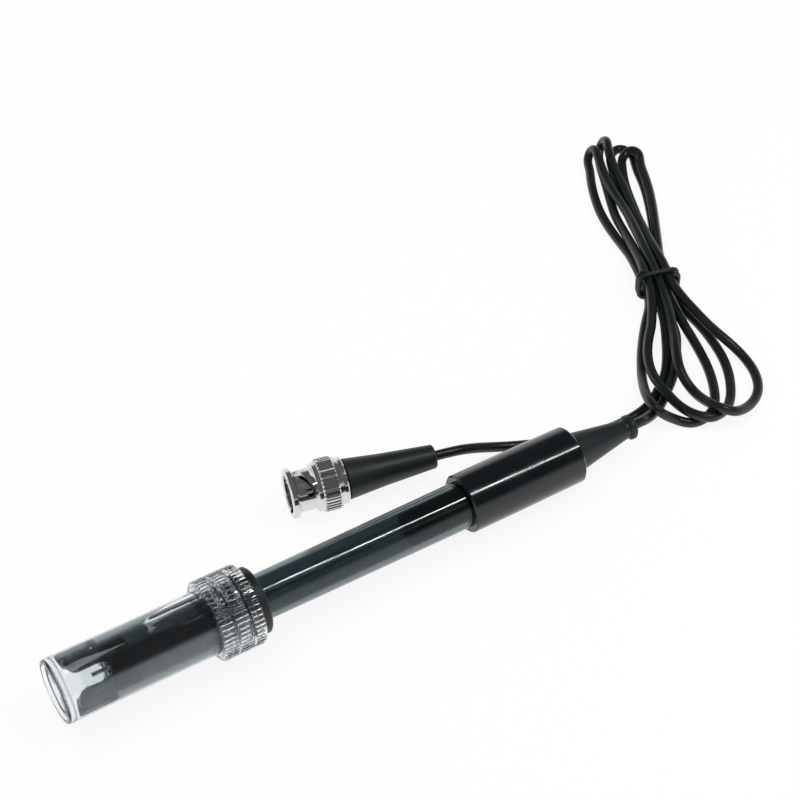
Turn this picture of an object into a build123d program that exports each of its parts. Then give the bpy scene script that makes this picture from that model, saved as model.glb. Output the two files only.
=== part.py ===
from build123d import *
import os
from math import atan2, cos, degrees, pi, radians, sin, tan

# Combination pH electrode lying on a table, with its storage bottle on the tip, its tied cable
# and a bayonet plug. Millimetres, +Z up. Pieces of the electrode are drawn along +X, x = 0 at
# the closed end of the storage bottle, and the whole electrode is then laid down on the table
# on its collar and its head cap. Pieces of the plug are drawn along +X from the plug's mouth.

# Clearances
running_clearance = 0.05
face_gap = 0.05
snug_clearance = 0.02

# Storage bottle
bottle_length = 49.4
bottle_base_diameter = 16.8
bottle_mouth_diameter = 16.8
bottle_wall = 1.0
bottle_base_thickness = 1.2
foot_height = 1.0
foot_width = 1.2
foot_chamfer = 0.35

# Screw collar of the bottle
collar_diameter = 21.4
collar_length = 11.6
collar_end_wall = 1.5
collar_bevel = 0.55
thread_room = 0.8
rib_count = 48
rib_depth = 0.5
rib_land = 0.30
rib_foot = 0.62
collar_groove_width = 0.9
collar_groove_depth = 0.8
collar_groove_places = (0.34, 0.715)

# Rubber seal in the collar
seal_flange_diameter = 17.8
seal_flange_thickness = 2.55
seal_flange_chamfer = 0.5
seal_neck_diameter = 14.8
seal_lip_diameter = 16.6
seal_lip_thickness = 1.5

# Body tube and its guard prongs
tube_diameter = 12.0
tube_head_diameter = 12.7
tube_wall = 1.2
tip_space = 1.7
stem_length = 111.6
tube_engagement = 6.3
taper_delay = 1.7
guard_depth = 9.8
guard_gap = 3.8
guard_corner = 2.4
guard_angle = 37.7

# Inside the body tube
tip_plug_gap = 0.25
tip_plug_length = 5.85
bulb_diameter = 7.4
bulb_setback = 2.6
stem_diameter = 5.2
glass_wall = 0.5
stem_end_in_stopper = 12.0
junction_diameter = 1.2
junction_reach = 1.0
junction_radius = 3.75
junction_angle = 127.7
wire_diameter = 0.8
wire_setback = 3.0
wire_bend_radius = 2.0
reference_wire_length = 81.0
reference_radius = 3.7
reference_bend_run = 1.5
reference_end_run = 3.0
stopper_length = 23.0
stopper_head = 1.5

# Head cap, cable boot and the cable end inside them
cap_length = 34.5
cap_grip_length = 15.0
cap_front_diameter = 16.05
cap_back_diameter = 15.86
cap_chamfer = 0.35
cap_end_wall = 2.0
boot_root_diameter = 11.2
boot_tip_diameter = 5.5
boot_taper_length = 17.2
boot_neck_length = 1.1
boot_bead_length = 2.0
boot_bead_diameter = 6.9
boot_bead_round = 0.5
boot_anchor_diameter = 12.4
boot_anchor_thickness = 2.5
cable_diameter = 2.8
core_diameter = 1.2
core_length = 12.0
cable_tail_in_cap = 9.6

# Bayonet plug: coupling sleeve
sleeve_length = 15.5
sleeve_bore_diameter = 9.8
sleeve_rim_diameter = 13.5
sleeve_rim_length = 1.5
rim_back_slope = 0.6
sleeve_waist_diameter = 11.2
sleeve_waist_end = 6.4
shoulder_slope = 0.9
sleeve_shoulder_diameter = 13.3
knurl_start = 8.4
knurl_length = 4.6
knurl_diameter = 14.5
knurl_depth = 0.35
knurl_count = 40
knurl_land = 0.30
knurl_foot = 0.85
knurl_bevel = 0.4
tail_slope = 1.3
sleeve_tail_diameter = 12.7
sleeve_edge = 0.3
web_start = 10.15
web_thickness = 1.2
counterbore_diameter = 11.4
slot_width = 2.3
slot_turn = 80.0
slot_start = 2.6
slot_end = 5.4
lock_hole_diameter = 2.6
lock_angle = 140.0
slot_floor_diameter = 11.0

# Bayonet plug: body and inner pieces
contact_diameter = 8.1
contact_wall = 0.5
contact_start = 2.6
contact_slot_width = 0.5
contact_slot_depth = 4.5
shoulder_start = 8.0
shoulder_length = 1.0
shoulder_diameter = 9.6
neck_diameter = 8.7
neck_end = 15.7
spigot_diameter = 4.8
spigot_end = 20.0
core_room = 0.3
insulator_front = 8.4
insulator_back = 13.9
pin_diameter = 1.35
pin_front = 3.4
pin_nose_diameter = 0.6
pin_nose_length = 0.6
pin_collar_diameter = 2.2
pin_collar_length = 1.0
gasket_length = 1.0
spring_washer_thickness = 0.24
thrust_washer_thickness = 0.3
retaining_ring_thickness = 0.6
retaining_ring_diameter = 10.8
retaining_groove_diameter = 8.0
retaining_ring_opening = 50.0
ferrule_wall = 0.45
ferrule_start_gap = 0.1
ferrule_neck_length = 0.8
ferrule_end = 24.0
plug_boot_start = 15.75
plug_boot_end = 40.8
plug_boot_diameter = 11.1
plug_boot_shoulder_diameter = 8.85
plug_boot_bore_step = 1.0
plug_boot_shoulder = 26.0
plug_boot_tip_diameter = 6.5
plug_boot_chamfer = 0.35
plug_place = (-5.3, 28.9)
plug_heading = -13.2

# Hank of cable and its tie
hank_height = 9.2
hank_end_height = 5.6
hank_direction = 70.5
hank_middle = (127.1, 44.4)
hank_half_length = 66.0
hank_reach = 99.0
hank_cut_margin = 1.0
tie_direction = 68.5
tie_width = 2.3
tie_thickness = 0.8
tie_inner_width = 10.2
tie_inner_height = 7.6
tie_corner = 2.1
hank_outline = [
    (96.1, 5.5),
    (101.6, -4.7),
    (111.9, -7.9),
    (121.9, -8.4),
    (130.2, -1.5),
    (133.6, 13.5),
    (133.0, 30.0),
    (132.6, 42.0),
    (137.9, 54.5),
    (148.4, 71.5),
    (158.6, 91.5),
    (160.2, 104.0),
    (153.4, 111.2),
    (143.9, 106.8),
    (135.4, 89.5),
    (129.6, 67.5),
    (122.4, 47.2),
    (112.2, 33.5),
    (102.4, 21.5),
]

# Free cable: the straight run out of the piece that holds it, then the points of its route
lead_first_run = 3.0
lead_points = [
    (92.0, 1.0, 6.4),
    (95.4, 2.9, 4.8),
    (98.5, 5.3, 3.4),
]
tail_first_run = 5.5
tail_points = [
    (45.4, 17.8, 5.6),
    (51.2, 17.2, 3.1),
    (57.3, 15.3, 1.7),
    (63.8, 12.5, 1.4),
    (70.8, 9.6, 1.4),
    (78.4, 7.5, 1.4),
    (85.9, 6.6, 1.4),
    (92.7, 7.0, 1.4),
    (98.9, 8.8, 1.4),
]

# Places along the electrode that follow from the sizes above
bottle_inner_end = foot_height + bottle_base_thickness
tip = bottle_inner_end + tip_space
guard_root = tip + guard_depth
tip_plug_start = guard_root + tip_plug_gap
tip_plug_end = tip_plug_start + tip_plug_length
lip_start = bottle_length + face_gap
lip_end = lip_start + seal_lip_thickness
collar_wall_start = lip_end + face_gap
collar_end = collar_wall_start + collar_end_wall
collar_start = collar_end - collar_length
flange_start = collar_end + face_gap
flange_end = flange_start + seal_flange_thickness
taper_start = flange_end + taper_delay
cap_start = tip + stem_length
cap_end = cap_start + cap_length
cap_wall_start = cap_end - cap_end_wall
tube_end = cap_start + tube_engagement
stopper_start = tube_end - stopper_length
stem_end = stopper_start + stem_end_in_stopper
bulb_front = tip + bulb_setback
boot_neck_start = cap_end + boot_taper_length
boot_bead_start = boot_neck_start + boot_neck_length
boot_end = boot_bead_start + boot_bead_length
cable_end = cap_wall_start - boot_anchor_thickness - cable_tail_in_cap
core_end = cable_end - core_length

# Radii that follow
tube_radius = tube_diameter / 2
tube_bore = tube_radius - tube_wall
collar_radius = collar_diameter / 2
rib_root_radius = collar_radius - rib_depth
collar_bore = bottle_mouth_diameter / 2 + thread_room
seal_neck_radius = seal_neck_diameter / 2
cap_bore = tube_head_diameter / 2 + snug_clearance
boot_radius = boot_root_diameter / 2
cable_radius = cable_diameter / 2
sleeve_bore = sleeve_bore_diameter / 2
neck_radius = neck_diameter / 2
contact_bore = contact_diameter / 2 - contact_wall
web_end = web_start + web_thickness
knurl_end = knurl_start + knurl_length


def turned(outline):
    """Solid of revolution about X from a closed outline of (x, radius) points."""
    return revolve(make_face(Polyline(*outline, close=True)), Axis.X)


def rod(start, end, radius):
    """Round bar along X."""
    return Pos(X=start) * extrude(Plane.YZ * Circle(radius), end - start)


def toothed_bar(start, end, count, root_radius, top_radius, land, foot):
    """Bar along X with straight teeth, one of them pointing straight down."""
    pitch = 2 * pi / count
    points = []
    for tooth in range(count):
        middle = tooth * pitch - pi / 2
        corners = ((-foot, root_radius), (-land, top_radius), (land, top_radius), (foot, root_radius))
        for share, radius in corners:
            angle = middle + share * pitch / 2
            points.append((radius * cos(angle), radius * sin(angle)))
    section = Plane.YZ * make_face(Polyline(*points, close=True))
    return Pos(X=start) * extrude(section, end - start)


def land_radius(radius, count, land):
    """Distance from the axis to the middle of a tooth's flat land."""
    return radius * cos(land * pi / count)


def smooth_path(name, points):
    """Path of straight runs joined by arcs as large as the runs allow."""
    corners = [Vector(*point) for point in points]
    radii = []
    for before, corner, after in zip(corners, corners[1:], corners[2:]):
        run_in = corner - before
        run_out = after - corner
        turn = radians(run_in.get_angle(run_out))
        radii.append(0.45 * min(run_in.length, run_out.length) / tan(turn / 2))
    print(name, "arc radii", [round(radius, 1) for radius in radii])
    return FilletPolyline(*corners, radius=radii)


def cable_tube(name, points):
    """Round cable along a smooth path through the points."""
    path = smooth_path(name, points)
    tube = sweep(Plane(origin=path @ 0, z_dir=path % 0) * Circle(cable_radius), path=path)
    expected = pi * cable_radius**2 * path.length
    print(name, "volume", round(tube.volume, 2), "section x length", round(expected, 2))
    return tube


def storage_bottle():
    base = bottle_base_diameter / 2
    mouth = bottle_mouth_diameter / 2
    return turned([
        (foot_height, 0),
        (foot_height, base - foot_width),
        (0, base - foot_width),
        (0, base - foot_chamfer),
        (foot_chamfer, base),
        (bottle_length, mouth),
        (bottle_length, mouth - bottle_wall),
        (bottle_inner_end, base - bottle_wall),
        (bottle_inner_end, 0),
    ])


def storage_collar():
    ribs = toothed_bar(
        collar_start, collar_end, rib_count, rib_root_radius, collar_radius, rib_land, rib_foot
    )
    outline = [
        (collar_start, 0),
        (collar_start, collar_radius - collar_bevel),
        (collar_start + collar_bevel, collar_radius),
    ]
    for place in collar_groove_places:
        middle = collar_start + place * collar_length
        outline += [
            (middle - collar_groove_width / 2, collar_radius),
            (middle - collar_groove_width / 2, collar_radius - collar_groove_depth),
            (middle + collar_groove_width / 2, collar_radius - collar_groove_depth),
            (middle + collar_groove_width / 2, collar_radius),
        ]
    outline += [
        (collar_end - collar_bevel, collar_radius),
        (collar_end, collar_radius - collar_bevel),
        (collar_end, 0),
    ]
    body = ribs & turned(outline)
    body -= rod(collar_start, collar_wall_start, collar_bore)
    return body - rod(collar_start, collar_end, seal_neck_radius + running_clearance)


def storage_seal():
    bore = tube_radius + running_clearance
    flange = seal_flange_diameter / 2
    return turned([
        (lip_start, bore),
        (lip_start, seal_lip_diameter / 2),
        (lip_end, seal_lip_diameter / 2),
        (lip_end, seal_neck_radius),
        (flange_start, seal_neck_radius),
        (flange_start, flange),
        (flange_end - seal_flange_chamfer, flange),
        (flange_end, flange - seal_flange_chamfer),
        (flange_end, bore),
    ])


def guard_gap_cutter():
    """Slot right across the tip, with a round root and a mouth that rounds the prongs' corners."""
    half = guard_gap / 2
    corner = guard_corner
    with BuildSketch(Plane.XY) as sketch:
        with BuildLine():
            Line((guard_root - half, half), (tip + corner, half))
            RadiusArc((tip + corner, half), (tip, half + corner), corner)
            Line((tip, half + corner), (tip - 1, half + corner))
            Line((tip - 1, half + corner), (tip - 1, -half - corner))
            Line((tip - 1, -half - corner), (tip, -half - corner))
            RadiusArc((tip, -half - corner), (tip + corner, -half), corner)
            Line((tip + corner, -half), (guard_root - half, -half))
            ThreePointArc((guard_root - half, -half), (guard_root, 0), (guard_root - half, half))
        make_face()
    return extrude(sketch.sketch, amount=tube_diameter, both=True)


def body_tube():
    head = tube_head_diameter / 2
    tube = turned([
        (tip, tube_bore),
        (tip, tube_radius),
        (taper_start, tube_radius),
        (cap_start, head),
        (tube_end, head),
        (tube_end, tube_bore),
    ])
    for turn in (0, 90):
        tube -= Rot(X=guard_angle + turn) * guard_gap_cutter()
    return tube


def glass_electrode():
    """Blown bulb and stem of one glass tube, closed at the bulb and open at the top."""
    radius = bulb_diameter / 2
    centre = bulb_front + radius
    stem = stem_diameter / 2
    outer = Pos(X=centre) * Sphere(radius) + rod(centre, stem_end, stem)
    inner = Pos(X=centre) * Sphere(radius - glass_wall) + rod(centre, stem_end, stem - glass_wall)
    return outer - inner


def off_axis_rod(start, end, radius, offset, angle):
    """Bar along X at a distance from the axis, at an angle up from +Y."""
    return Pos(0, offset * cos(radians(angle)), offset * sin(radians(angle))) * rod(start, end, radius)


def tip_plug():
    plug = rod(tip_plug_start, tip_plug_end, tube_bore - snug_clearance)
    plug -= rod(tip_plug_start, tip_plug_end, stem_diameter / 2 + snug_clearance)
    hole = junction_diameter / 2 + snug_clearance
    return plug - off_axis_rod(tip_plug_start, tip_plug_end, hole, junction_radius, junction_angle)


def reference_junction():
    start = tip_plug_start - junction_reach
    return off_axis_rod(start, tip_plug_end, junction_diameter / 2, junction_radius, junction_angle)


def measuring_wire():
    return rod(bulb_front + wire_setback, core_end, wire_diameter / 2)


def reference_wire():
    """Wire down the tube, bent in at the top to lie beside the cable's core."""
    start = core_end - reference_wire_length
    touch = core_diameter / 2 + wire_diameter / 2 + snug_clearance
    radial = Vector(0, cos(radians(junction_angle + 180)), sin(radians(junction_angle + 180)))
    path = FilletPolyline(
        Vector(start, 0, 0) + radial * reference_radius,
        Vector(core_end + reference_bend_run, 0, 0) + radial * reference_radius,
        Vector(cable_end - reference_end_run, 0, 0) + radial * touch,
        Vector(cable_end - face_gap, 0, 0) + radial * touch,
        radius=wire_bend_radius,
    )
    return sweep(Plane(origin=path @ 0, z_dir=path % 0) * Circle(wire_diameter / 2), path=path)


def upper_stopper():
    """Plug that closes the tube's upper end round the glass stem and the two wires."""
    inside = tube_bore - snug_clearance
    head = tube_head_diameter / 2 - snug_clearance
    head_start = tube_end + face_gap
    head_end = tube_end + stopper_head
    plug = turned([
        (stopper_start, 0),
        (stopper_start, inside),
        (head_start, inside),
        (head_start, head),
        (head_end, head),
        (head_end, 0),
    ])
    plug -= rod(stopper_start, stem_end + face_gap, stem_diameter / 2 + snug_clearance)
    wire_hole = wire_diameter / 2 + snug_clearance
    plug -= rod(stopper_start, head_end, wire_hole)
    return plug - off_axis_rod(stopper_start, head_end, wire_hole, reference_radius, junction_angle + 180)


def head_cap():
    front = cap_front_diameter / 2
    back = cap_back_diameter / 2
    hole = boot_radius + snug_clearance
    return turned([
        (cap_start, cap_bore),
        (cap_start, front - cap_chamfer),
        (cap_start + cap_chamfer, front),
        (cap_start + cap_grip_length, front),
        (cap_end - cap_chamfer, back),
        (cap_end, back - cap_chamfer),
        (cap_end, hole),
        (cap_wall_start, hole),
        (cap_wall_start, cap_bore),
    ])


def cable_boot():
    anchor = boot_anchor_diameter / 2
    bore = cable_radius + snug_clearance
    neck = boot_tip_diameter / 2
    bead = boot_bead_diameter / 2
    return turned([
        (cap_wall_start - boot_anchor_thickness, bore),
        (cap_wall_start - boot_anchor_thickness, anchor),
        (cap_wall_start - face_gap, anchor),
        (cap_wall_start - face_gap, boot_radius),
        (cap_end, boot_radius),
        (boot_neck_start, neck),
        (boot_bead_start, neck),
        (boot_bead_start, bead - boot_bead_round),
        (boot_bead_start + boot_bead_round, bead),
        (boot_end - boot_bead_round, bead),
        (boot_end, bead - boot_bead_round),
        (boot_end, bore),
    ])


def cable_inner_end():
    return rod(cable_end, boot_end - snug_clearance, cable_radius)


def core_wire():
    return rod(core_end, cable_end, core_diameter / 2)


def helical_slot():
    """One bayonet slot: straight in from the rim, then a quarter turn back to a round lock hole."""
    middle_radius = (sleeve_bore + sleeve_waist_diameter / 2) / 2
    advance = slot_end - slot_start
    path = Helix(pitch=advance * 360 / slot_turn, height=advance, radius=middle_radius, direction=(1, 0, 0))
    start = path @ 0
    entry_angle = lock_angle - slot_turn
    path = Rot(X=entry_angle - degrees(atan2(start.Z, start.Y))) * Pos(X=slot_start - start.X) * path
    groove = sweep(Plane(origin=path @ 0, z_dir=path % 0) * Circle(slot_width / 2), path=path, is_frenet=True)
    depth = slot_floor_diameter / 2
    upright = (Align.CENTER, Align.CENTER, Align.MIN)
    entry = Box(slot_start, slot_width, depth, align=(Align.MIN, Align.CENTER, Align.MIN))
    entry += Pos(X=slot_start) * Cylinder(slot_width / 2, depth, align=upright)
    hole = Pos(X=slot_end) * Cylinder(lock_hole_diameter / 2, sleeve_rim_diameter / 2, align=upright)
    return groove + Rot(X=entry_angle - 90) * entry + Rot(X=lock_angle - 90) * hole


def coupling_sleeve():
    rim = sleeve_rim_diameter / 2
    waist = sleeve_waist_diameter / 2
    shoulder = sleeve_shoulder_diameter / 2
    knurl = knurl_diameter / 2
    tail = sleeve_tail_diameter / 2
    counterbore = counterbore_diameter / 2
    outline = [
        (0, sleeve_bore + sleeve_edge),
        (0, rim - sleeve_edge),
        (sleeve_edge, rim),
        (sleeve_rim_length, rim),
        (sleeve_rim_length + rim_back_slope, waist),
        (sleeve_waist_end, waist),
        (sleeve_waist_end + shoulder_slope, shoulder),
        (knurl_start, shoulder),
        (knurl_start, knurl - knurl_bevel),
        (knurl_start + knurl_bevel, knurl),
        (knurl_end - knurl_bevel, knurl),
        (knurl_end, knurl - knurl_bevel),
        (knurl_end + tail_slope, tail),
        (sleeve_length - sleeve_edge, tail),
        (sleeve_length, tail - sleeve_edge),
        (sleeve_length, counterbore),
        (web_end, counterbore),
        (web_end, neck_radius + running_clearance),
        (web_start, neck_radius + running_clearance),
        (web_start, sleeve_bore),
        (sleeve_edge, sleeve_bore),
    ]
    sleeve = turned(outline)
    band = rod(knurl_start, knurl_end, knurl + 1) - toothed_bar(
        knurl_start, knurl_end, knurl_count, knurl - knurl_depth, knurl, knurl_land, knurl_foot
    )
    sleeve -= band
    for angle in (0, 180):
        sleeve -= Rot(X=angle) * helical_slot()
    return sleeve


def plug_body():
    """Spring contact, shoulder, neck and cable spigot of one turned piece."""
    spigot = spigot_diameter / 2
    shoulder = shoulder_diameter / 2
    groove = retaining_groove_diameter / 2
    groove_start = web_end + face_gap
    groove_end = groove_start + retaining_ring_thickness + 2 * snug_clearance
    body = turned([
        (contact_start, contact_bore),
        (contact_start, contact_diameter / 2),
        (shoulder_start, contact_diameter / 2),
        (shoulder_start, shoulder),
        (shoulder_start + shoulder_length, shoulder),
        (shoulder_start + shoulder_length, neck_radius),
        (groove_start, neck_radius),
        (groove_start, groove),
        (groove_end, groove),
        (groove_end, neck_radius),
        (neck_end, neck_radius),
        (neck_end, spigot),
        (spigot_end, spigot),
        (spigot_end, core_diameter / 2 + core_room),
        (insulator_back + face_gap, core_diameter / 2 + core_room),
        (insulator_back + face_gap, contact_bore),
    ])
    along = (Align.MIN, Align.CENTER, Align.CENTER)
    slot = Pos(X=contact_start) * Box(contact_slot_depth, contact_slot_width, shoulder_diameter, align=along)
    for angle in (45, 135):
        body -= Rot(X=angle) * slot
    return body


def plug_insulator():
    return rod(insulator_front, insulator_back, contact_bore - snug_clearance) - centre_pin(snug_clearance)


def centre_pin(grow=0.0):
    """Centre contact with its holding collar; grown a little, it is the room it needs."""
    radius = pin_diameter / 2 + grow
    collar = pin_collar_diameter / 2 + grow
    collar_start = (insulator_front + insulator_back - pin_collar_length) / 2 - grow
    collar_finish = collar_start + pin_collar_length + 2 * grow
    return turned([
        (pin_front, 0),
        (pin_front, pin_nose_diameter / 2),
        (pin_front + pin_nose_length, radius),
        (collar_start, radius),
        (collar_start, collar),
        (collar_finish, collar),
        (collar_finish, radius),
        (insulator_back, radius),
        (insulator_back, 0),
    ])


def ring(start, end, inner, outer):
    """Flat ring about X."""
    return turned([(start, inner), (start, outer), (end, outer), (end, inner)])


def plug_gasket():
    inner = contact_diameter / 2 + snug_clearance
    return ring(shoulder_start - gasket_length, shoulder_start - snug_clearance, inner, shoulder_diameter / 2)


def spring_washer():
    """Wave washer, drawn pressed flat against the shoulder."""
    start = shoulder_start + shoulder_length + snug_clearance
    end = start + spring_washer_thickness
    return ring(start, end, neck_radius + running_clearance, shoulder_diameter / 2)


def thrust_washer():
    end = web_start - face_gap
    start = end - thrust_washer_thickness
    return ring(start, end, neck_radius + running_clearance, shoulder_diameter / 2)


def retaining_ring():
    """Open ring sprung into the groove of the neck, behind the sleeve's web."""
    start = web_end + face_gap + snug_clearance
    end = start + retaining_ring_thickness
    whole = ring(start, end, retaining_groove_diameter / 2 + snug_clearance, retaining_ring_diameter / 2)
    half = radians(retaining_ring_opening / 2)
    reach = retaining_ring_diameter
    wedge = make_face(Polyline((0, 0), (reach, reach * tan(half)), (reach, -reach * tan(half)), close=True))
    return whole - Pos(X=start) * extrude(Plane.YZ * wedge, retaining_ring_thickness)


def crimp_ferrule():
    """Metal tube pressed on the spigot and crimped down on the cable."""
    inner = spigot_diameter / 2 + snug_clearance
    crimp = cable_radius + snug_clearance
    start = neck_end + ferrule_start_gap
    neck_start = spigot_end + ferrule_start_gap
    return turned([
        (start, inner),
        (start, inner + ferrule_wall),
        (neck_start, inner + ferrule_wall),
        (neck_start + ferrule_neck_length, crimp + ferrule_wall),
        (ferrule_end, crimp + ferrule_wall),
        (ferrule_end, crimp),
        (neck_start + ferrule_neck_length, crimp),
        (neck_start, inner),
    ])


def plug_boot():
    wide = plug_boot_diameter / 2
    inner = spigot_diameter / 2 + snug_clearance + ferrule_wall + snug_clearance
    bore = cable_radius + snug_clearance
    return turned([
        (plug_boot_start, inner),
        (plug_boot_start, wide - plug_boot_chamfer),
        (plug_boot_start + plug_boot_chamfer, wide),
        (plug_boot_shoulder, plug_boot_shoulder_diameter / 2),
        (plug_boot_end - plug_boot_chamfer, plug_boot_tip_diameter / 2),
        (plug_boot_end, plug_boot_tip_diameter / 2 - plug_boot_chamfer),
        (plug_boot_end, bore),
        (ferrule_end + face_gap + plug_boot_bore_step, bore),
        (ferrule_end + face_gap, inner),
    ])


def cable_plug_end():
    """End of the cable inside the plug: the jacket, then the bared core."""
    core = core_diameter / 2
    core_start = insulator_back + 2 * face_gap
    jacket_start = spigot_end + ferrule_start_gap + ferrule_neck_length
    return turned([
        (core_start, 0),
        (core_start, core),
        (jacket_start, core),
        (jacket_start, cable_radius),
        (plug_boot_end - snug_clearance, cable_radius),
        (plug_boot_end - snug_clearance, 0),
    ])


def tie_loop(grow, along):
    """Block that fills the tie's loop, grown outwards, along the hank at the tie."""
    width = tie_inner_width + 2 * grow
    height = tie_inner_height + 2 * grow
    block = extrude(Plane.YZ * RectangleRounded(width, height, tie_corner + grow), along / 2, both=True)
    return tie_place * block


def hank_tie():
    return tie_loop(tie_thickness, tie_width) - tie_loop(0, tie_width)


def cable_hank():
    """Outer shape of the tied hank: flat lobes that rise to the tie."""
    flat = extrude(make_face(Spline(*hank_outline, periodic=True)), hank_height)
    edge = hank_height - (hank_height - hank_end_height) * (hank_reach / hank_half_length) ** 2
    floor = -hank_cut_margin
    crown = make_face(
        Polyline((-hank_reach, edge), (-hank_reach, floor), (hank_reach, floor), (hank_reach, edge))
        + ThreePointArc((-hank_reach, edge), (0, hank_height), (hank_reach, edge))
    )
    crown = extrude(Plane.XZ * crown, hank_reach, both=True)
    hank = flat & (Pos(*hank_middle, 0) * Rot(Z=hank_direction) * crown)
    slice_along = tie_width + 2 * face_gap
    around = tie_place * Box(slice_along, 4 * tie_inner_width, 4 * hank_height)
    return hank - (around - tie_loop(-face_gap, slice_along))


# Resting place of the electrode: on the back edge of the collar's ribs and of the head cap
collar_support = (collar_end - collar_bevel, land_radius(collar_radius, rib_count, rib_land))
cap_support = (cap_end - cap_chamfer, cap_back_diameter / 2)
lean = atan2(collar_support[1] - cap_support[1], cap_support[0] - collar_support[0])
lift = collar_support[0] * sin(lean) + collar_support[1] * cos(lean)
lay_down = Rot(Y=degrees(lean))
ends = Compound([lay_down * storage_bottle(), lay_down * cable_boot()]).bounding_box()
rest = Pos(-(ends.min.X + ends.max.X) / 2, 0, lift) * lay_down

# Resting place of the plug: on the lowest land of its knurled band
plug_axis_height = land_radius(knurl_diameter / 2, knurl_count, knurl_land)
plug_rest = Pos(*plug_place, plug_axis_height) * Rot(Z=plug_heading)

tie_place = Pos(*hank_middle, tie_inner_height / 2 + tie_thickness) * Rot(Z=tie_direction)

lead_start = [(rest * Pos(X=boot_end + run)).position for run in (0, lead_first_run)]
tail_start = [(plug_rest * Pos(X=plug_boot_end + run)).position for run in (0, tail_first_run)]

electrode_pieces = {
    "storage_bottle": storage_bottle(),
    "storage_collar": storage_collar(),
    "storage_seal": storage_seal(),
    "body_tube": body_tube(),
    "tip_plug": tip_plug(),
    "glass_electrode": glass_electrode(),
    "reference_junction": reference_junction(),
    "measuring_wire": measuring_wire(),
    "reference_wire": reference_wire(),
    "upper_stopper": upper_stopper(),
    "head_cap": head_cap(),
    "cable_boot": cable_boot(),
    "cable_inner_end": cable_inner_end(),
    "core_wire": core_wire(),
}

plug_pieces = {
    "coupling_sleeve": coupling_sleeve(),
    "plug_body": plug_body(),
    "plug_insulator": plug_insulator(),
    "centre_pin": centre_pin(),
    "plug_gasket": plug_gasket(),
    "spring_washer": spring_washer(),
    "thrust_washer": thrust_washer(),
    "retaining_ring": retaining_ring(),
    "crimp_ferrule": crimp_ferrule(),
    "plug_boot": plug_boot(),
    "cable_plug_end": cable_plug_end(),
}

cord_pieces = {
    "cable_lead": cable_tube("cable_lead", [*lead_start, *lead_points]),
    "cable_tail": cable_tube("cable_tail", [*tail_start, *tail_points]),
    "cable_hank": cable_hank(),
    "hank_tie": hank_tie(),
}

os.makedirs("parts", exist_ok=True)
for pieces, place in ((electrode_pieces, rest), (plug_pieces, plug_rest), (cord_pieces, Location())):
    for node, piece in pieces.items():
        export_step(place * piece, f"parts/{node}.step")

print("lean", round(degrees(lean), 4), "lift", round(lift, 4), "shift", round(rest.position.X, 4))
print("lead starts", lead_start, "tail starts", tail_start)
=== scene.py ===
import math

import bmesh
import bpy
from mathutils import Matrix, Vector


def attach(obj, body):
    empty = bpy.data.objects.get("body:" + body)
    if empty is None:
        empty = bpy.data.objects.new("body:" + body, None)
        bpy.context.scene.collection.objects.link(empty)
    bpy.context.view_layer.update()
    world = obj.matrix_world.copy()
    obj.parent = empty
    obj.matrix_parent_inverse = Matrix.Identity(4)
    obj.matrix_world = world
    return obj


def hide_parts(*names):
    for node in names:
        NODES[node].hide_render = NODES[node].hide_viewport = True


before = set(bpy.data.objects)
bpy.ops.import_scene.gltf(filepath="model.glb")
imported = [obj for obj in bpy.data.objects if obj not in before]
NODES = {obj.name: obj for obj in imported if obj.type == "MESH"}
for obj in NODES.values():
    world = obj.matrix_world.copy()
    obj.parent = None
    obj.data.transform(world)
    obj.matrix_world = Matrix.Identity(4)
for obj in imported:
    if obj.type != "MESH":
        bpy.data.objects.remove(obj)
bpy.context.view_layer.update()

bl_info = {
    "name": "pH electrode",
    "version": (1, 0, 0),
    "blender": (4, 5, 0),
    "location": "View3D > Sidebar > Electrode",
    "description": "Dresses a laboratory pH electrode with its storage bottle, cable and bayonet plug",
    "category": "Object",
}

# The electrode's own axis: distances along it count from the bottle's closed end, angles turn
# about it from the side (+Y) over the top.
LEAN = math.radians(1.6228)
AXIS_START = Vector((-0.0850436, 0.0, 0.0121649))
ALONG = Vector((math.cos(LEAN), 0.0, -math.sin(LEAN)))
ACROSS = Vector((0.0, 1.0, 0.0))
OVER = Vector((math.sin(LEAN), 0.0, math.cos(LEAN)))

# Storage bottle, as in the part
BOTTLE_RADIUS = 0.0084
BOTTLE_BORE = 0.0074
BOTTLE_LENGTH = 0.0494
BOTTLE_FOOT = 0.0010
BOTTLE_FOOT_WIDTH = 0.0012
BOTTLE_FLOOR = 0.0022
# The solution reaches this far into the wall, so that no film of air is left between them
WET_OVERLAP = 0.00003

# Screw thread under the collar: the bottle backs off by one pitch for each turn
THREAD_PITCH = 0.0025
THREAD_START = 0.0416
THREAD_END = 0.0489
COLLAR_BORE = 0.0092

# The tie round the hank
TIE_CENTRE = Vector((0.1271, 0.0444, 0.0))
TIE_HEADING = math.radians(68.5)

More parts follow.
